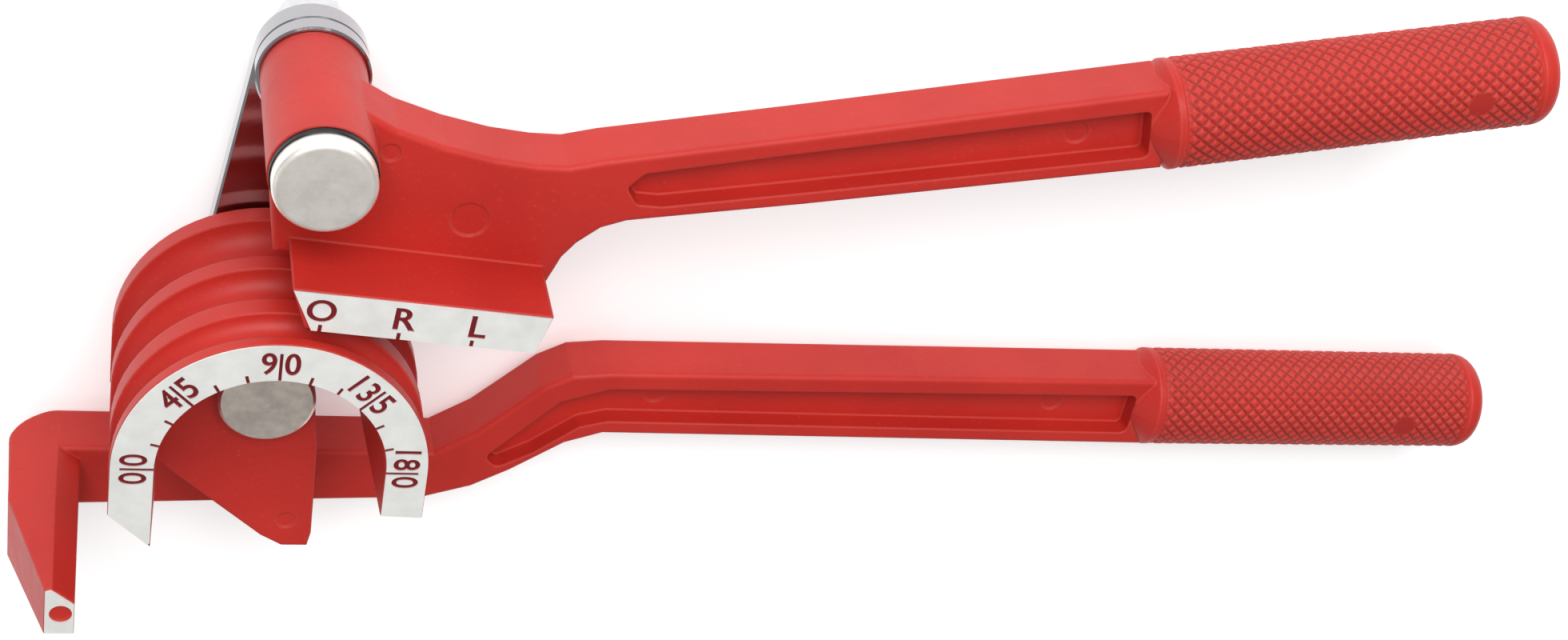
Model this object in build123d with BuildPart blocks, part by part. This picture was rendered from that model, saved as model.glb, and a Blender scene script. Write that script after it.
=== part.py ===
"""Hand tube bender for three tube sizes: two cast handles joined by a steel link on two pins.

Frame: Z is the axis of the former, with the scale face up. X runs along the lower handle.
The origin is on the former's axis at the rear end of the pivot pin, the lowest plane.
"""
import os
from math import cos, radians, sin

from build123d import *

os.makedirs("parts", exist_ok=True)

# Overall
H_FACE = 51.75         # height of the scale face above the rear ends of the pins
GRIP_R = 9.1           # both grips
KNURL_R = 8.7         # root of the knurling
GRIP_RAMP = 4.5        # cone at the root of a grip
GRIP_COLLAR = 5.5      # end of the plain stretch behind it
GRIP_TIP = 3.6         # plain stretch at its end
PLATE_T = 10.6         # thickness of both cast shanks
POCKET_T = 3.4         # depth of the pockets in the shanks
MARK_DEPTH = 0.25      # of the round ejector marks in the castings
DRAFT = 3.0            # draft of the former's inner pocket, degrees

# Former
CREST_R = 24.0         # bend radius, at the crests and at the tube centre line
FORMER_L = 37.0        # length along its axis
POCKET_R = 17.4        # inner edge of the scale ring
TUBE_R = (3.0, 4.0, 5.0)
TUBE_DEPTH = (5.1, 15.9, 28.4)     # of each tube's centre line below the scale face
TUBE_PLAY = 0.05
WEB_DEPTH = 20.0       # of the web's front face below the scale face

# Lower casting
ARM_Z1 = H_FACE - FORMER_L         # front of the arm is flush with the former's back
ARM_Z0 = ARM_Z1 - 10.7
LOW_GRIP_AT = (159.5, -12.72, ARM_Z1 - PLATE_T / 2)
LOW_GRIP_L = 73.3
LOW_SLOPE = 0.8
HOOK_X = -28.3         # inner face of the hook
HOOK_DIMPLE = (-30.4, -29.4)

# Link and pins
LINK_L = 49.8          # between the two pin axes
LINK_ANGLE = 85.0      # of the link at rest, from +X
LINK_T = 4.6
LINK_R0 = 12.4
LINK_R1 = 8.9
LINK_Z1 = ARM_Z1 - 0.9
LINK_Z0 = LINK_Z1 - LINK_T
PIN_R = 5.0
PIN_END_R = 4.0
RUN = 0.05             # radial running clearance
HEAD_R = 7.7
SIDE_GAP = 0.1

# Upper casting
SHANK_Z1 = H_FACE - 16.0
SHANK_Z0 = SHANK_Z1 - PLATE_T
UP_GRIP_AT = (134.35, 59.41, (SHANK_Z0 + SHANK_Z1) / 2)
UP_GRIP_L = 70.9
SHOE_ANGLE = LINK_ANGLE - 90.0
SHOE_Z1 = H_FACE - 2.4
SHOE_Z0 = H_FACE - 36.5
SHOE_V0 = 24.5         # underside, measured from the former's axis
SHOE_V1 = 32.4         # ledge on top of the shoe
SHOE_U0 = -1.9
SHOE_U1 = 37.6
BARREL_R = 8.2
BARREL_Z1 = H_FACE - 7.3
BARREL_Z0 = H_FACE - 34.5
BUSH_R = 6.0
BUSH_L = 12.0
UP_SLOPE = 11.4

SLIDE_X = LINK_L * cos(radians(LINK_ANGLE))
SLIDE_Y = LINK_L * sin(radians(LINK_ANGLE))


def save(part, node):
    part.label = node
    export_step(part, f"parts/{node}.step")


def disc(z0, z1, radius, centre=(0, 0), bore=0.0, chamfer_r=0.0):
    """A round piece between two heights, with an optional bore and chamfered rims."""
    with BuildPart() as p:
        with BuildSketch(Plane.XY.offset(z0)):
            with Locations(centre):
                Circle(radius)
                if bore:
                    Circle(bore, mode=Mode.SUBTRACT)
        extrude(amount=z1 - z0)
        if chamfer_r:
            rim = [e for e in p.edges().filter_by(GeomType.CIRCLE) if abs(e.radius - radius) < 1e-4]
            chamfer(rim, chamfer_r)
    return p.part


def plate(points, z0, z1, corner=0.0, rim=0.0):
    """A flat cast plate from its outline, rounded at its rims."""
    with BuildPart() as p:
        with BuildSketch(Plane.XY.offset(z0)) as s:
            with BuildLine():
                Polyline(*points, close=True)
            make_face()
            if corner:
                fillet(s.vertices(), corner)
        extrude(amount=z1 - z0)
        if rim:
            faces = p.faces().filter_by(Axis.Z)
            fillet(faces.edges(), rim)
    return p.part


def grip(length):
    """A round grip along +X from the origin: a cone, a collar, a knurled stretch at its root, a round end."""
    with BuildPart() as p:
        with BuildSketch(Plane.XZ):
            with BuildLine():
                Polyline((0, 0), (0, PLATE_T / 2 - 0.6), (GRIP_RAMP, GRIP_R),
                         (GRIP_COLLAR, GRIP_R),
                         (GRIP_COLLAR + 0.4, KNURL_R), (length - GRIP_TIP - 0.4, KNURL_R),
                         (length - GRIP_TIP, GRIP_R), (length, GRIP_R), (length, 0), close=True)
            make_face()
        revolve(axis=Axis.X)
        end = [e for e in p.edges().filter_by(GeomType.CIRCLE) if abs(e.center().X - length) < 1e-4]
        fillet(end, 3.2)
    return p.part


def hex_nut(z0, z1, flats, bore, centre):
    with BuildPart() as p:
        with BuildSketch(Plane.XY.offset(z0)):
            with Locations(centre):
                RegularPolygon(flats / 2, 6, major_radius=False)
                Circle(bore, mode=Mode.SUBTRACT)
        extrude(amount=z1 - z0)
        with BuildSketch(Plane.XZ.offset(-centre[1])) as cone:
            with BuildLine():
                top = flats / 2 + 2.0
                Polyline((centre[0], z0 - 4.5), (centre[0] + top + 0.4, z0 + 1.35),
                         (centre[0] + top + 0.4, z1 + 1), (centre[0], z1 + 1), close=True)
            make_face()
        revolve(axis=Axis((centre[0], centre[1], 0), (0, 0, 1)), mode=Mode.INTERSECT)
    return p.part


def ejector_marks(points, radius, z):
    """Shallow round recesses in a face of the casting in work, where the mould's pins pushed it out."""
    with Locations(*[(x, y, z) for x, y in points]):
        Cylinder(radius, 2 * MARK_DEPTH, mode=Mode.SUBTRACT)


def slide_to_shoe(u, v):
    """Plan position of a point given along and across the shoe."""
    a = radians(SHOE_ANGLE)
    return (u * cos(a) - v * sin(a), u * sin(a) + v * cos(a))


# Lower casting: grooved former open below, a web across it, and the arm behind
with BuildPart() as former:
    with BuildSketch(Plane.XY.offset(H_FACE)):
        Circle(CREST_R)
        with Locations((0, -20)):
            Rectangle(2 * CREST_R, 40)
    extrude(amount=-FORMER_L)
    with BuildSketch(Plane.XY.offset(H_FACE)):
        Circle(POCKET_R)
        with Locations((0, -30)):
            Rectangle(2 * POCKET_R, 60)
    extrude(amount=-FORMER_L, taper=DRAFT, mode=Mode.SUBTRACT)
    # ends of the two tails: the left one is cut on the slant
    with BuildSketch(Plane.XY.offset(H_FACE)):
        with BuildLine():
            Polyline((-30, -3.4), (-24, -9.1), (-16.4, -16.4), (0, -20), (15, -8.5), (30, -9.1),
                     (30, -60), (-30, -60), close=True)
        make_face()
    extrude(amount=-FORMER_L, mode=Mode.SUBTRACT)
    for r, depth in zip(TUBE_R, TUBE_DEPTH):
        with BuildSketch(Plane.XZ):
            with Locations((CREST_R, H_FACE - depth)):
                Circle(r + TUBE_PLAY)
        revolve(axis=Axis.Z, revolution_arc=180, mode=Mode.SUBTRACT)
        for side in (-1, 1):
            with BuildSketch(Plane.XZ):
                with Locations((side * CREST_R, H_FACE - depth)):
                    Circle(r + TUBE_PLAY)
            extrude(amount=25, mode=Mode.SUBTRACT)
    # web that carries the pivot and ties the former to the arm
    with BuildSketch(Plane.XY.offset(ARM_Z1)):
        with BuildLine():
            Polyline((-18.0, 0), (7.6, 0), (7.6, 18.0), (-18.0, 18.0), close=True)
        make_face()
        Circle(18.0, mode=Mode.INTERSECT)
        with BuildLine():
            Polyline((-18.0, 0.0), (-18.0, -13.0), (1.0, -30.0), (4.6, -32.2), (8.8, -32.2), (9.3, -29.4),
                     (8.9, -11.3), (7.6, 0.0), close=True)
        make_face()
    extrude(amount=H_FACE - WEB_DEPTH - ARM_Z1)

with BuildPart() as casting:
    add(former.part)
    # arm and shank, one bent plate
    add(plate([(-39.8, -25.8), (31.0, -25.6), (38.0, -21.0), (48.5, -10.8), (53.5, -8.0), (60.0, -7.3),
               (164.0, -5.6), (164.0, -20.4), (60.5, -20.6), (54.0, -23.0), (45.0, -29.4), (38.5, -33.2),
               (30.0, -36.0), (-39.8, -38.7)], ARM_Z0, ARM_Z1, rim=0.9))
    add(grip(LOW_GRIP_L).moved(Location(LOW_GRIP_AT, (0, 0, LOW_SLOPE))))
    # hook: a tapering leg from the arm's end up to the plane of the scale
    with BuildSketch(Plane.XY.offset(ARM_Z0 + 0.9)):
        with BuildLine():
            Polyline((-39.8, -25.8), (-32.0, -25.8), (HOOK_X, -28.4), (HOOK_X, -38.4), (-39.8, -38.4),
                     close=True)
        make_face()
    with BuildSketch(Plane.XY.offset(ARM_Z1 + 14.0)):
        with BuildLine():
            Polyline((-39.3, -25.4), (-32.0, -25.4), (HOOK_X, -28.1), (HOOK_X, -37.4), (-39.3, -37.4),
                     close=True)
        make_face()
    loft()
    with BuildSketch(Plane.XY.offset(ARM_Z1 + 14.0)):
        with BuildLine():
            Polyline((-39.3, -25.4), (-32.0, -25.4), (HOOK_X, -28.1), (HOOK_X, -37.4), (-39.3, -37.4),
                     close=True)
        make_face()
    with BuildSketch(Plane.XY.offset(H_FACE)):
        with BuildLine():
            Polyline((-32.9, -24.6), (-31.8, -24.4), (HOOK_X, -27.3), (HOOK_X, -33.6), (-32.9, -33.6),
                     close=True)
        make_face()
    loft()
    # rounded outer corner of the hook
    with BuildSketch(Plane.XZ.offset(10)):
        with BuildLine():
            ThreePointArc((-40.0, ARM_Z1 - 0.8), (-36.8, ARM_Z0 + 3.0), (-29.4, ARM_Z0))
            Polyline((-29.4, ARM_Z0), (-29.4, ARM_Z0 - 2), (-42, ARM_Z0 - 2), (-42, ARM_Z1 - 0.8),
                     (-40.0, ARM_Z1 - 0.8))
        make_face()
    extrude(amount=60, mode=Mode.SUBTRACT)
    ejector_marks((HOOK_DIMPLE,), 1.7, H_FACE)
    # shallow pockets in both faces of the shank
    for z, up in ((ARM_Z1, -1), (ARM_Z0, 1)):
        with BuildSketch(Plane.XY.offset(z)) as s:
            with BuildLine():
                Polyline((52.0, -13.6), (60.5, -10.6), (160.4, -8.9), (160.4, -17.7), (61.0, -17.8),
                         (56.0, -19.2), (48.5, -25.2), (42.5, -28.6), (40.0, -26.4), (46.0, -20.0),
                         close=True)
            make_face()
            fillet(s.vertices(), 1.4)
        extrude(amount=up * POCKET_T, taper=4, mode=Mode.SUBTRACT)
    ejector_marks(((69.4, -13.8), (145.2, -13.2)), 1.8, ARM_Z1 - POCKET_T)
    ejector_marks(((5.0, -26.8),), 1.6, H_FACE - WEB_DEPTH)
    # bore of the pivot
    with BuildSketch(Plane.XY.offset(ARM_Z0)):
        Circle(PIN_R)
    extrude(amount=H_FACE, mode=Mode.SUBTRACT)
save(casting.part, "former_handle")

# Upper casting, drawn in the shoe's own axes: u along the shoe, v away from the former
with BuildPart() as shoe:
    with BuildSketch(Plane.XY.offset(SHOE_Z0)):
        with BuildLine():
            Polyline((1.5, SHOE_V0), (36.0, SHOE_V0), (SHOE_U1, SHOE_V1), (SHOE_U0, SHOE_V1), close=True)
        make_face()
    extrude(amount=SHOE_Z1 - SHOE_Z0)
    for r, depth in zip(TUBE_R, TUBE_DEPTH):
        with BuildSketch(Plane.YZ.offset(-10)):
            with Locations((CREST_R, H_FACE - depth)):
                Circle(r + TUBE_PLAY)
        extrude(amount=60, mode=Mode.SUBTRACT)

with BuildPart() as slide:
    add(shoe.part.moved(Location((0, 0, 0), (0, 0, SHOE_ANGLE))))
    corner_l = slide_to_shoe(SHOE_U0 - 1.9, SHOE_V1 - 3.0)
    corner_r = slide_to_shoe(SHOE_U1 + 1.4, SHOE_V1 - 3.0)
    add(plate([(SLIDE_X - 7.6, SLIDE_Y - 1), corner_l, corner_r, (43.2, 30.6), (45.2, 33.4), (48.6, 36.4),
               (52.4, 37.9), (57.0, 38.7), (80.0, 42.5), (139.0, 53.0), (136.3, 67.4), (77.3, 54.9),
               (47.5, 48.8), (42.0, 47.3), (37.0, 47.3), (30.6, 48.0), (23.0, 49.7), (15.5, 52.2),
               (SLIDE_X + 3, SLIDE_Y + 7.2)], SHANK_Z0, SHANK_Z1, rim=0.9))
    with Locations((SLIDE_X, SLIDE_Y, BARREL_Z0)):
        Cylinder(BARREL_R, BARREL_Z1 - BARREL_Z0, align=(Align.CENTER, Align.CENTER, Align.MIN))
    add(grip(UP_GRIP_L).moved(Location(UP_GRIP_AT, (0, 0, UP_SLOPE))))
    for z, up in ((SHANK_Z1, -1), (SHANK_Z0, 1)):
        with BuildSketch(Plane.XY.offset(z)) as s:
            with BuildLine():
                Polyline((53.5, 41.2), (57.5, 41.0), (80.0, 44.9), (136.0, 55.0), (134.2, 63.6),
                         (77.3, 52.0), (54.0, 47.0), (51.4, 44.2), close=True)
            make_face()
            fillet(s.vertices(), 1.1)
        extrude(amount=up * POCKET_T, taper=4, mode=Mode.SUBTRACT)
    ejector_marks(((27.9, 37.1),), 3.0, SHANK_Z1)
    ejector_marks(((14.8, 48.4),), 1.5, SHANK_Z1)
    ejector_marks(((124.0, 57.0),), 2.0, SHANK_Z1 - POCKET_T)
    with Locations((SLIDE_X, SLIDE_Y, BARREL_Z0)):
        Cylinder(BUSH_R, 60, mode=Mode.SUBTRACT)
save(slide.part, "slide_handle")

# Link: a plate wide at the former and narrow at the barrel
with BuildPart() as link:
    with BuildSketch(Plane.XY.offset(LINK_Z0)):
        with BuildLine():
            lean = (LINK_R0 - LINK_R1) / LINK_L
            c, k = (1 - lean ** 2) ** 0.5, lean
            Polyline((LINK_R0 * k, LINK_R0 * c), (LINK_L + LINK_R1 * k, LINK_R1 * c),
                     (LINK_L + LINK_R1 * k, -LINK_R1 * c), (LINK_R0 * k, -LINK_R0 * c), close=True)
        make_face()
        Circle(LINK_R0)
        with Locations((LINK_L, 0)):
            Circle(LINK_R1)
            Circle(PIN_END_R, mode=Mode.SUBTRACT)
        Circle(BUSH_R, mode=Mode.SUBTRACT)
    extrude(amount=LINK_T)
    outer = [e for e in link.faces().filter_by(Axis.Z).edges()
             if not (e.geom_type == GeomType.CIRCLE and e.radius < BUSH_R + 0.1)]
    chamfer(outer, 0.35)
save(link.part.moved(Location((0, 0, 0), (0, 0, LINK_ANGLE))), "link")
save(disc(LINK_Z0, LINK_Z1, BUSH_R, bore=PIN_R + RUN), "link_bush")

# Pivot pin and its washers and nut
PIVOT_SHOULDER = LINK_Z0 - SIDE_GAP
with BuildPart() as pivot:
    add(disc(H_FACE - WEB_DEPTH, H_FACE - WEB_DEPTH + 3.0, HEAD_R, chamfer_r=0.5))
    add(disc(PIVOT_SHOULDER, H_FACE - WEB_DEPTH, PIN_R))
    add(disc(0, PIVOT_SHOULDER, PIN_END_R, chamfer_r=0.5))
save(pivot.part, "pivot_pin")
save(disc(LINK_Z1 + SIDE_GAP, ARM_Z1, 9.0, bore=PIN_R), "pivot_thrust_washer")
save(disc(PIVOT_SHOULDER - 1.0, PIVOT_SHOULDER, 9.0, bore=PIN_END_R, chamfer_r=0.15), "pivot_rear_washer")
save(hex_nut(PIVOT_SHOULDER - 6.0, PIVOT_SHOULDER - 1.0, 13.0, PIN_END_R, (0, 0)), "pivot_nut")

# Slide pin, fixed in the link, with the barrel turning on it
slide_at = (SLIDE_X, SLIDE_Y)
HEAD_Z0 = H_FACE - 6.0
with BuildPart() as slide_pin:
    add(disc(HEAD_Z0, HEAD_Z0 + 3.0, HEAD_R, slide_at))
    fillet(slide_pin.edges().group_by(Axis.Z)[-1], 1.0)
    add(disc(LINK_Z1, HEAD_Z0, PIN_R, slide_at))
    add(disc(0, LINK_Z1, PIN_END_R, slide_at, chamfer_r=0.5))
save(slide_pin.part, "slide_pin")
save(disc(BARREL_Z1 + SIDE_GAP, HEAD_Z0, 7.95, slide_at, bore=PIN_R), "slide_front_washer")
save(disc(BARREL_Z1 - BUSH_L, BARREL_Z1, BUSH_R, slide_at, bore=PIN_R + RUN), "slide_front_bush")
save(disc(BARREL_Z0, BARREL_Z0 + BUSH_L, BUSH_R, slide_at, bore=PIN_R + RUN), "slide_rear_bush")
save(disc(LINK_Z1, BARREL_Z0 - SIDE_GAP, LINK_R1, slide_at, bore=PIN_R, chamfer_r=0.3),
     "slide_thrust_washer")
save(disc(LINK_Z0 - 1.0, LINK_Z0, 7.3, slide_at, bore=PIN_END_R, chamfer_r=0.15), "slide_rear_washer")
save(hex_nut(LINK_Z0 - 6.0, LINK_Z0 - 1.0, 13.0, PIN_END_R, slide_at), "slide_nut")
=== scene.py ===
"""Hand tube bender: finishes, ground faces with their marks, knurled grips, floor, light and camera."""
from math import cos, hypot, pi, radians, sin

import bpy
from mathutils import Matrix, Vector


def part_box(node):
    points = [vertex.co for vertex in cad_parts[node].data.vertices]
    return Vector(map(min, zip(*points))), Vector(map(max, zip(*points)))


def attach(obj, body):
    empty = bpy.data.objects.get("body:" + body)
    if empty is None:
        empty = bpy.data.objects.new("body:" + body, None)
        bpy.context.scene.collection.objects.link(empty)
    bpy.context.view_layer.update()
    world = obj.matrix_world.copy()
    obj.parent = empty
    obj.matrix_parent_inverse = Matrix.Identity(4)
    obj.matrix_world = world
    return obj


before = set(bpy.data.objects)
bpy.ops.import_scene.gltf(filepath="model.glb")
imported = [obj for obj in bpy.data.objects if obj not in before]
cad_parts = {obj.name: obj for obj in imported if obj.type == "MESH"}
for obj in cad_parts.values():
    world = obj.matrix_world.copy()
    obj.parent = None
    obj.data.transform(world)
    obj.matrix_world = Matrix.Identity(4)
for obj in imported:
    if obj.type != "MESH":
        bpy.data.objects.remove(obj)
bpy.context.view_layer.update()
MM = 0.001

# Heights read from the frame, in mm
FACE_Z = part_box("former_handle")[1][2] / MM
SHOE_ABOVE_PIN = 0.6
SHOE_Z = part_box("slide_pin")[1][2] / MM + SHOE_ABOVE_PIN
# Sizes shared with the solid model, in mm and degrees
SHOE_TURN = -5.0
UP_GRIP_AT, UP_GRIP_SLOPE, UP_GRIP_L = (134.35, 59.41, FACE_Z - 21.3), 11.4, 70.9
LOW_GRIP_AT, LOW_GRIP_SLOPE, LOW_GRIP_L = (159.5, -12.72, FACE_Z - 42.3), 0.8, 73.3


# ---------------------------------------------------------------- materials
class Shader:
    """A small helper that adds nodes to one material and links them."""

    def __init__(self, name):
        self.mat = bpy.data.materials.new(name)
        self.mat.use_nodes = True
        self.tree = self.mat.node_tree
        self.tree.nodes.clear()
        self.out = self.add("ShaderNodeOutputMaterial")
        self.bsdf = self.add("ShaderNodeBsdfPrincipled")
        self.link(self.bsdf, "BSDF", self.out, "Surface")
        self.coords = self.add("ShaderNodeTexCoord")

    def add(self, kind, **values):
        node = self.tree.nodes.new(kind)
        for key, value in values.items():
            if hasattr(node, key):
                setattr(node, key, value)
            else:
                node.inputs[key.replace("_", " ")].default_value = value
        return node

    def link(self, a, out, b, into):
        self.tree.links.new(a.outputs[out], b.inputs[into])

    def place(self, scale=(1, 1, 1), turn=(0, 0, 0), shift=(0, 0, 0)):
        node = self.add("ShaderNodeMapping")
        node.inputs["Scale"].default_value = scale
        node.inputs["Rotation"].default_value = turn
        node.inputs["Location"].default_value = shift
        self.link(self.coords, "Object", node, "Vector")
        return node

    def noise(self, scale, detail=3.0, roughness=0.5, mapping=None):
        node = self.add("ShaderNodeTexNoise", Scale=scale, Detail=detail, Roughness=roughness)
        if mapping:
            self.link(mapping, "Vector", node, "Vector")
        else:
            self.link(self.coords, "Object", node, "Vector")
        return node

    def ramp(self, source, out, stops):
        node = self.add("ShaderNodeValToRGB")
        elements = node.color_ramp.elements
        while len(elements) < len(stops):
            elements.new(0.5)
        for element, (at, colour) in zip(elements, stops):
            element.position = at
            element.color = (*colour, 1) if len(colour) == 3 else colour
        self.link(source, out, node, "Fac")
        return node

    def span(self, source, out, low, high):
        node = self.add("ShaderNodeMapRange")
        node.inputs["To Min"].default_value = low
        node.inputs["To Max"].default_value = high
        self.link(source, out, node, "Value")
        return node

    def mix(self, factor, f_out, a, b):
        """Mixes two colours: each is a tuple or a (node, output) pair."""
        node = self.add("ShaderNodeMix", data_type="RGBA")
        self.tree.links.new(factor.outputs[f_out], node.inputs[0])
        for socket, value in ((node.inputs[6], a), (node.inputs[7], b)):
            if isinstance(value[0], float):
                socket.default_value = (*value, 1)
            else:
                self.tree.links.new(value[0].outputs[value[1]], socket)
        return node

    def bump(self, source, out, strength, distance, before=None):
        node = self.add("ShaderNodeBump", Strength=strength, Distance=distance)
        self.link(source, out, node, "Height")
        if before:
            self.link(before, "Normal", node, "Normal")
        return node

    def set(self, **values):
        for key, value in values.items():
            self.bsdf.inputs[key.replace("_", " ")].default_value = value


def enamel(name, shaded_pits=False):
    """Red enamel over a cast surface, with a painted highlight along its sharp edges; the knurl's version
    paints shade into the knurl's pits.
    """
    s = Shader(name)
    broad = s.noise(45, 4)
    tone = s.ramp(broad, "Fac", [(0.3, (0.42, 0.019, 0.014)), (0.7, (0.49, 0.025, 0.017))])
    speck = s.noise(1500, 2)
    grain = s.ramp(speck, "Fac", [(0.62, (0, 0, 0)), (0.78, (0.5, 0.5, 0.5))])
    dusted = s.mix(grain, "Color", (tone, "Color"), (0.56, 0.045, 0.034))
    # sharp edges are painted paler: a painted highlight along them, with thin enamel there as well
    soft = s.add("ShaderNodeBevel", Radius=0.0006, samples=4)
    geo = s.add("ShaderNodeNewGeometry")
    dot = s.add("ShaderNodeVectorMath", operation="DOT_PRODUCT")
    s.link(soft, "Normal", dot, 0)
    s.link(geo, "Normal", dot, 1)
    # painted highlight mask: how far the rounded normal turns away from the face's own
    painted_edge_highlight = s.add("ShaderNodeMapRange")
    for key, value in (("From Min", 0.985), ("From Max", 0.86), ("To Min", 0.0), ("To Max", 0.55)):
        painted_edge_highlight.inputs[key].default_value = value
    s.link(dot, "Value", painted_edge_highlight, "Value")
    colour = s.mix(painted_edge_highlight, "Result", (dusted, "Result"), (0.68, 0.10, 0.075))
    # painted shade: the knurl's pits are darkened by a per-vertex weight
    if shaded_pits:
        pit_shade_mask = s.add("ShaderNodeAttribute", attribute_name="painted_pit_shade")
        colour = s.mix(pit_shade_mask, "Fac", (colour, "Result"), (0.17, 0.008, 0.008))
    s.tree.links.new(colour.outputs["Result"], s.bsdf.inputs["Base Color"])
    s.link(s.span(s.noise(220, 3), "Fac", 0.36, 0.52), "Result", s.bsdf, "Roughness")
    peel = s.bump(s.noise(520, 2), "Fac", 0.10, 0.0004, before=soft)
    fine = s.bump(s.noise(2600, 2), "Fac", 0.14, 0.0001, before=peel)
    s.link(fine, "Normal", s.bsdf, "Normal")
    s.set(Coat_Weight=0.05, Coat_Roughness=0.35, Specular_IOR_Level=0.22)
    return s.mat


def ground_metal(name, turn):
    """Ground bare casting: pale, with fine parallel grinding lines and a few dull spots."""
    s = Shader(name)
    streak = s.place(scale=(1, 26, 1), turn=(0, 0, radians(turn)))
    lines = s.noise(160, 5, 0.65, mapping=streak)
    cloud = s.noise(260, 4)
    colour = s.ramp(cloud, "Fac", [(0.3, (0.82, 0.82, 0.79)), (0.68, (0.92, 0.92, 0.89))])
    s.link(colour, "Color", s.bsdf, "Base Color")
    s.link(s.span(lines, "Fac", 0.34, 0.6), "Result", s.bsdf, "Roughness")
    s.link(s.bump(lines, "Fac", 0.25, 0.00008), "Normal", s.bsdf, "Normal")
    s.set(Metallic=0.5)
    return s.mat


def plated(name, colour, rough, turned_at=None, blotch=0.0):
    """Plated steel; turned_at adds the faint rings of a turned face about that point."""
    s = Shader(name)
    dull = tuple(c * (1 - 0.22 * blotch) for c in colour)
    spots = s.noise(420, 5, 0.6)
    tone = s.ramp(spots, "Fac", [(0.35, dull), (0.62, colour)])
    s.link(tone, "Color", s.bsdf, "Base Color")
    s.link(s.span(s.noise(330, 4), "Fac", rough, rough + 0.14 * (0.3 + blotch)), "Result",
           s.bsdf, "Roughness")
    normal = s.bump(s.noise(900, 3), "Fac", 0.08 + 0.14 * blotch, 0.0001)
    if turned_at:
        place = s.place(shift=(-turned_at[0] * MM, -turned_at[1] * MM, 0))
        rings = s.add("ShaderNodeTexWave", Scale=180, Distortion=0.6, wave_type="RINGS")
        rings.rings_direction = "Z"
        s.link(place, "Vector", rings, "Vector")
        normal = s.bump(rings, "Fac", 0.14, 0.0001, before=normal)
    s.link(normal, "Normal", s.bsdf, "Normal")
    s.set(Metallic=1.0)
    return s.mat


def plain_metal(name, dark, light, rough):
    s = Shader(name)
    tone = s.ramp(s.noise(300, 4), "Fac", [(0.3, dark), (0.7, light)])
    s.link(tone, "Color", s.bsdf, "Base Color")
    s.link(s.span(s.noise(700, 3), "Fac", rough, rough + 0.15), "Result", s.bsdf, "Roughness")
    s.link(s.bump(s.noise(1100, 3), "Fac", 0.2, 0.0001), "Normal", s.bsdf, "Normal")
    s.set(Metallic=1.0)
    return s.mat


def plain_paint(name, colour):
    s = Shader(name)
    s.set(Base_Color=(*colour, 1), Roughness=0.6, Specular_IOR_Level=0.2)
    return s.mat


RED = enamel("red_enamel_finish")
# the grips' enamel, with painted shade in the knurl's pits
KNURL_RED_PIT_SHADED = enamel("red_knurl_finish_pit_shaded", shaded_pits=True)
RING_METAL = ground_metal("scale_face_metal", 62)
STRIP_METAL = ground_metal("shoe_face_metal", -5)
TIP_METAL = ground_metal("hook_face_metal", 20)
# painted reflection: the chrome's colour is lowered to stand in for dark surroundings it would reflect
LINK_CHROME_DARKENED = plated("link_finish_darkened", (0.40, 0.40, 0.42), 0.08)
PIVOT_NICKEL = plated("pivot_pin_finish", (0.80, 0.72, 0.64), 0.30, turned_at=(0, 0), blotch=1.0)
SLIDE_NICKEL = plated("slide_pin_finish", (1.0, 0.95, 0.88), 0.38, blotch=0.5)
NUT_ZINC = plated("nut_finish", (0.66, 0.67, 0.68), 0.22, blotch=0.4)
WASHER_DARK = plain_metal("dark_washer_finish", (0.02, 0.02, 0.022), (0.06, 0.06, 0.065), 0.35)
# the marks' red paint, darker than the enamel as painted shade in the recesses
MARK_RED_AND_SHADE = plain_paint("mark_paint_and_shade", (0.15, 0.007, 0.010))
BUSH_BRONZE = plain_metal("bush_finish", (0.42, 0.25, 0.10), (0.60, 0.38, 0.17), 0.3)

finishes = {
    "former_handle": RED, "slide_handle": RED, "link": LINK_CHROME_DARKENED, "link_bush": BUSH_BRONZE,
    "pivot_pin": PIVOT_NICKEL, "slide_pin": SLIDE_NICKEL, "pivot_nut": NUT_ZINC, "slide_nut": NUT_ZINC,
    "pivot_rear_washer": NUT_ZINC, "slide_rear_washer": NUT_ZINC,
    "pivot_thrust_washer": WASHER_DARK, "slide_front_washer": WASHER_DARK,
    "slide_thrust_washer": LINK_CHROME_DARKENED, "slide_front_bush": BUSH_BRONZE, "slide_rear_bush": BUSH_BRONZE,
}
for node, finish in finishes.items():
    for material_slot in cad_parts[node].material_slots:
        material_slot.material = finish


# ---------------------------------------------------------------- ground faces with their marks
SKIN = 0.22            # mm the ground metal stands above the paint in the marks
BACKING = 0.04         # of red mark paint below it, darkened as painted shade in the recessed marks
INNER_R, OUTER_R = 17.5, 23.9
TICK_W = 0.5
SHORT_TICK, LONG_TICK = 1.35, 5.0
BOLD = 0.13            # mm added to each side of a stroke
SHARPEST = 0.5         # limit on the growth at a sharp corner


def encloses(loop, point):
    """Whether a closed outline goes round a point."""
    inside = False
    for (x0, y0), (x1, y1) in zip(loop, loop[1:] + loop[:1]):
        if (y0 > point[1]) == (y1 > point[1]):
            continue
        if point[0] < x0 + (point[1] - y0) * (x1 - x0) / (y1 - y0):
            inside = not inside
    return inside


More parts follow.
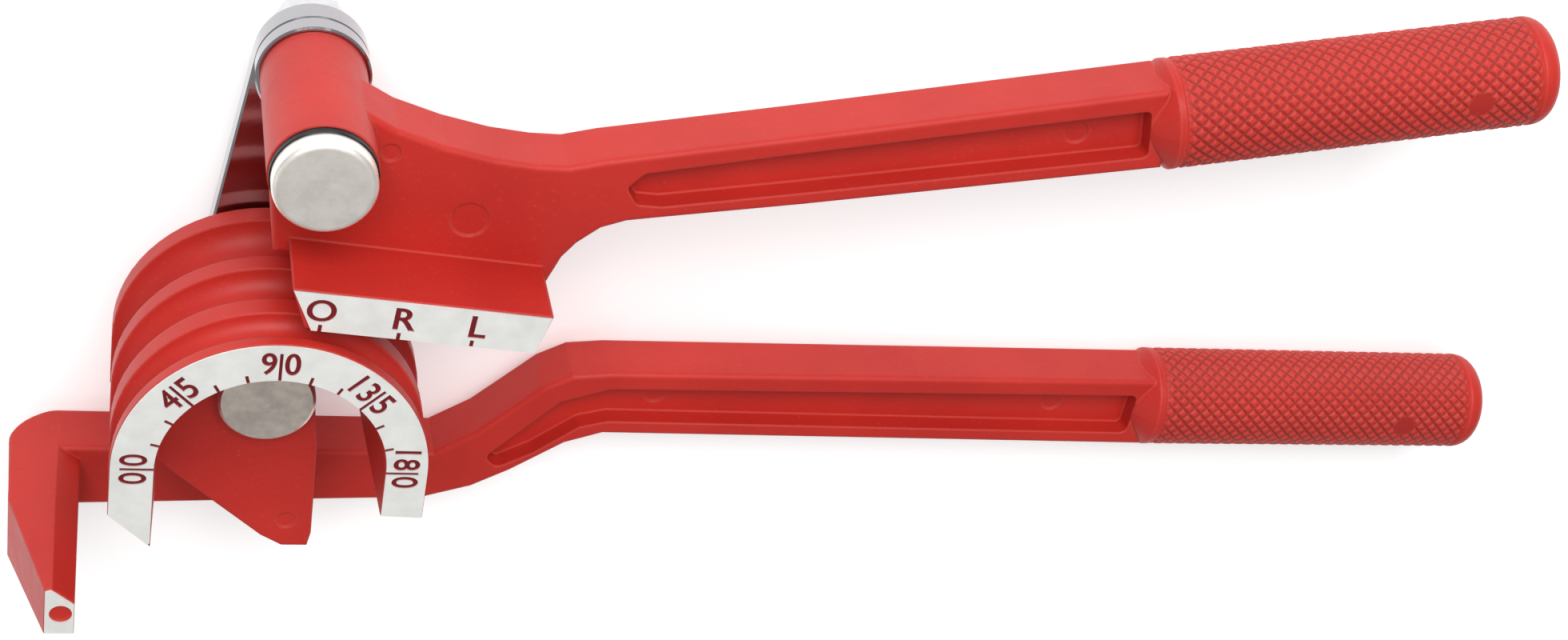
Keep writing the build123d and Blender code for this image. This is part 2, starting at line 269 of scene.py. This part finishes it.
def bolder(loops, by):
    """Widens the strokes of a text: outer outlines grow and the holes in them shrink."""
    result = []
    for loop in loops:
        pairs = list(zip(loop, loop[1:] + loop[:1]))
        area = sum(x0 * y1 - x1 * y0 for (x0, y0), (x1, y1) in pairs)
        hole = any(other is not loop and encloses(other, loop[0]) for other in loops)
        sign = (1 if area > 0 else -1) * (-1 if hole else 1)
        normals = [((y1 - y0) / hypot(x1 - x0, y1 - y0), (x0 - x1) / hypot(x1 - x0, y1 - y0))
                   for (x0, y0), (x1, y1) in pairs]
        grown = []
        for (x, y), (last_x, last_y), (next_x, next_y) in zip(loop, normals[-1:] + normals[:-1], normals):
            reach = sign * by / max(SHARPEST, 1 + last_x * next_x + last_y * next_y)
            grown.append((x + (last_x + next_x) * reach, y + (last_y + next_y) * reach))
        result.append(grown)
    return result


def glyph_loops(text, height):
    """Closed outlines of a text in mm, its baseline at y 0 and its width centred on x 0."""
    curve = bpy.data.curves.new("glyph", "FONT")
    curve.body = text
    curve.fill_mode = "NONE"
    curve.resolution_u = 5
    obj = bpy.data.objects.new("glyph", curve)
    bpy.context.scene.collection.objects.link(obj)
    bpy.context.view_layer.update()
    mesh = bpy.data.meshes.new_from_object(obj.evaluated_get(bpy.context.evaluated_depsgraph_get()))
    points = [v.co.copy() for v in mesh.vertices]
    following = {}
    for e in mesh.edges:
        for a, b in (e.vertices, reversed(e.vertices)):
            following.setdefault(a, []).append(b)
    loops, seen = [], set()
    for start in range(len(points)):
        if start in seen or start not in following:
            continue
        loop, at = [], start
        while at not in seen:
            seen.add(at)
            loop.append(points[at])
            at = next((n for n in following[at] if n not in seen), at)
        loops.append(loop)
    bpy.data.objects.remove(obj)
    bpy.data.meshes.remove(mesh)
    xs = [p.x for loop in loops for p in loop]
    ys = [p.y for loop in loops for p in loop]
    k = height / (max(ys) - min(ys))
    middle, base = (max(xs) + min(xs)) / 2, min(ys)
    flat = [[((p.x - middle) * k, (p.y - base) * k) for p in loop] for loop in loops]
    distinct = [[p for p, q in zip(loop, loop[1:] + loop[:1]) if hypot(p[0] - q[0], p[1] - q[1]) > 1e-4]
                for loop in flat]
    return bolder(distinct, BOLD)


def moved(loops, at, turn, stretch=1.0):
    c, s = cos(radians(turn)), sin(radians(turn))
    return [[(at[0] + x * stretch * c - y * s, at[1] + x * stretch * s + y * c) for x, y in loop]
            for loop in loops]


def width(loops):
    xs = [x for loop in loops for x, _ in loop]
    return max(xs) - min(xs)


def skin(name, outlines, z, material, body, thick=SKIN):
    """A thin flat plate with holes, lying at a height over a face of the casting."""
    curve = bpy.data.curves.new(name, "CURVE")
    curve.dimensions = "2D"
    curve.fill_mode = "BOTH"
    curve.extrude = thick * MM / 2
    for outline in outlines:
        spline = curve.splines.new("POLY")
        spline.points.add(len(outline) - 1)
        for point, (x, y) in zip(spline.points, outline):
            point.co = (x * MM, y * MM, 0, 1)
        spline.use_cyclic_u = True
    holder = bpy.data.objects.new(name + "_outline", curve)
    bpy.context.scene.collection.objects.link(holder)
    bpy.context.view_layer.update()
    mesh = bpy.data.meshes.new_from_object(holder.evaluated_get(bpy.context.evaluated_depsgraph_get()))
    bpy.data.objects.remove(holder)
    mesh.transform(Matrix.Translation((0, 0, (z + thick / 2) * MM)))
    piece = bpy.data.objects.new(name, mesh)
    bpy.context.scene.collection.objects.link(piece)
    mesh.materials.clear()
    mesh.materials.append(material)
    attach(piece, body)


def marked_face(name, plain, marks, z, material, body):
    """Ground metal over a sheet of red paint, darkened as painted shade in the recessed marks, which
    shows through them.
    """
    skin(name + "_paint", [plain], z, MARK_RED_AND_SHADE, body, BACKING)
    skin(name, marks, z + BACKING, material, body)


def polar(r, angle, side=0.0):
    a = radians(angle)
    return (r * cos(a) - side * sin(a), r * sin(a) + side * cos(a))


def scale_outline(ticks):
    """The ring's face, with its ticks as notches in the inner edge."""
    outline = [(-OUTER_R, -9.1)]
    outline += [polar(OUTER_R, a) for a in range(180, -1, -3)]
    outline += [(OUTER_R, -8.9), (INNER_R, -8.6)]
    for angle in range(0, 181, 15):
        if not ticks:
            outline += [polar(INNER_R, angle + step) for step in (0, 5, 10) if angle + step <= 180]
            continue
        reach = INNER_R + (LONG_TICK if angle % 45 == 0 else SHORT_TICK)
        outline += [polar(INNER_R, angle, -TICK_W / 2), polar(reach, angle, -TICK_W / 2),
                    polar(reach, angle, TICK_W / 2), polar(INNER_R, angle, TICK_W / 2)]
        if angle < 180:
            outline += [polar(INNER_R, angle + step) for step in (3, 6, 9, 12)]
    outline += [(-INNER_R, -14.6), (-INNER_R - 0.35, -14.95)]
    return outline


DIGIT_H, DIGIT_R = 3.9, 18.6
marks = [scale_outline(True)]
for angle, (left, right) in {180: ("0", "0"), 135: ("4", "5"), 90: ("9", "0"), 45: ("13", "5"),
                             0: ("18", "0")}.items():
    for text, side in ((left, 1), (right, -1)):
        glyphs = glyph_loops(text, DIGIT_H)
        stretch = 0.88
        offset = side * (TICK_W / 2 + 0.32 + width(glyphs) * stretch / 2)
        marks += moved(glyphs, polar(DIGIT_R, angle, offset), angle - 90, stretch)
marked_face("scale_face", scale_outline(False), marks, FACE_Z, RING_METAL, "former_side")


def on_shoe(u, v):
    c, s = cos(radians(SHOE_TURN)), sin(radians(SHOE_TURN))
    return (u * c - v * s, u * s + v * c)


plain = [(1.9, 25.5), (36.1, 25.5), (37.4, 32.25), (-1.7, 32.25)]
strip = [plain[0]]
for u in (3.1, 14.9, 26.1):
    strip += [(u - 0.3, 25.5), (u - 0.3, 26.7), (u + 0.3, 26.7), (u + 0.3, 25.5)]
strip += plain[1:]
marks = [[on_shoe(u, v) for u, v in strip]]
for text, u in (("O", 2.9), ("R", 15.4), ("L", 26.6)):
    marks += moved(glyph_loops(text, 3.8), on_shoe(u, 27.3), SHOE_TURN, 1.05)
marked_face("shoe_face", [on_shoe(u, v) for u, v in plain], marks, SHOE_Z, STRIP_METAL, "slide_side")

DIMPLE, DIMPLE_R = (-30.4, -29.4), 1.75
tip = [(-32.8, -24.75), (-31.85, -24.5), (-28.38, -27.4), (-28.38, -33.5), (-32.8, -33.5)]
dimple = [(DIMPLE[0] + DIMPLE_R * cos(radians(a)), DIMPLE[1] + DIMPLE_R * sin(radians(a)))
          for a in range(0, 360, 12)]
skin("hook_face", [tip, dimple], FACE_Z, TIP_METAL, "former_side")


# ---------------------------------------------------------------- knurled grips
ROOT_R, CREST_R = 8.71, 9.09
COLLAR, TIP_L = 5.5, 3.6
AXIAL_PITCH, AROUND, CELL = 2.4, 24, 10
MARK_AT, MARK_R = 56.2, 2.3


def tri(t):
    return 1 - abs(2 * (t % 1.0) - 1)


def knurl(name, at, slope, length, body):
    """A diamond knurl as real geometry over the grip's root cylinder."""
    start, end = COLLAR + 0.1, length - TIP_L - 0.1
    step = AXIAL_PITCH / CELL
    rows = int((end - start) / step)
    columns = AROUND * CELL
    verts, faces, pit_shades = [], [], []
    for i in range(rows + 1):
        x = start + (end - start) * i / rows
        fade = min(1.0, (x - start) / 1.2, (end - x) / 1.2)
        for j in range(columns):
            a, b = (i + j) / CELL, (i - j) / CELL
            height = min(1.0, 1.7 * min(tri(a), tri(b)))
            phi = 2 * pi * j / columns
            arc = hypot(x - MARK_AT, ROOT_R * ((phi + pi) % (2 * pi) - pi))
            if arc < MARK_R:
                height = 0.3
            r = ROOT_R + (CREST_R - ROOT_R) * height * fade - (0.05 if i in (0, rows) else 0)
            # weight of the painted shade in the pits, larger where the knurl is low
            pit_shades.append(0.8 * max(0.0, 1 - 1.6 * height) * fade)
            verts.append((x * MM, -r * sin(phi) * MM, r * cos(phi) * MM))
    for i in range(rows):
        for j in range(columns):
            k = (j + 1) % columns
            faces.append((i * columns + j, (i + 1) * columns + j, (i + 1) * columns + k, i * columns + k))
    mesh = bpy.data.meshes.new(name)
    mesh.from_pydata(verts, [], faces)
    mesh.transform(Matrix.Translation(Vector(at) * MM) @ Matrix.Rotation(radians(slope), 4, "Z"))
    mesh.materials.append(KNURL_RED_PIT_SHADED)
    mesh.attributes.new("painted_pit_shade", "FLOAT", "POINT").data.foreach_set("value", pit_shades)
    mesh.flip_normals()
    for polygon in mesh.polygons:
        polygon.use_smooth = False
    piece = bpy.data.objects.new(name, mesh)
    bpy.context.scene.collection.objects.link(piece)
    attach(piece, body)


knurl("lower_knurl", LOW_GRIP_AT, LOW_GRIP_SLOPE, LOW_GRIP_L, "former_side")
knurl("upper_knurl", UP_GRIP_AT, UP_GRIP_SLOPE, UP_GRIP_L, "slide_side")

# ---------------------------------------------------------------- floor, light and camera
floor_mat = Shader("floor_finish")
floor_mat.set(Base_Color=(0.88, 0.88, 0.88, 1), Roughness=0.9, Specular_IOR_Level=0.1,
              Emission_Color=(1, 1, 1, 1), Emission_Strength=0.3)
bpy.ops.mesh.primitive_plane_add(size=6)
floor = bpy.context.active_object
floor.name = "floor"
floor.data.materials.append(floor_mat.mat)

world = bpy.data.worlds.new("studio")
bpy.context.scene.world = world
world.use_nodes = True
world.node_tree.nodes["Background"].inputs["Color"].default_value = (1, 1, 1, 1)
world.node_tree.nodes["Background"].inputs["Strength"].default_value = 0.42


def softbox(name, at, aim, size, power):
    light = bpy.data.lights.new(name, "AREA")
    light.shape = "RECTANGLE"
    light.size, light.size_y = size
    light.energy = power
    obj = bpy.data.objects.new(name, light)
    bpy.context.scene.collection.objects.link(obj)
    obj.location = at
    obj.rotation_euler = (Vector(aim) - Vector(at)).to_track_quat("-Z", "Y").to_euler()


softbox("key", (0.0, 0.7, 0.7), (0.08, 0.0, 0.03), (0.8, 0.5), 9.5)
softbox("top", (0.1, 0.1, 1.0), (0.1, 0.0, 0.0), (0.9, 0.9), 0.9)
softbox("fill", (-0.6, -0.2, 0.5), (0.0, 0.0, 0.03), (0.5, 0.5), 0.5)

LENS_PX, FRAME_W = 3006, 1961
turn = Matrix.Rotation(radians(19.49), 3, "Z") @ Matrix.Rotation(radians(38.3), 3, "X") \
    @ Matrix.Rotation(radians(-26.65), 3, "Z")
camera_data = bpy.data.cameras.new("camera")
camera_data.sensor_width = 36
camera_data.lens = LENS_PX / FRAME_W * 36
camera = bpy.data.objects.new("camera", camera_data)
bpy.context.scene.collection.objects.link(camera)
camera.matrix_world = Matrix.Translation(Vector((-27.8, 238.0, 292.3 + FACE_Z)) * MM) \
    @ turn.transposed().to_4x4()
bpy.context.scene.camera = camera
bpy.context.scene.view_settings.view_transform = "Standard"
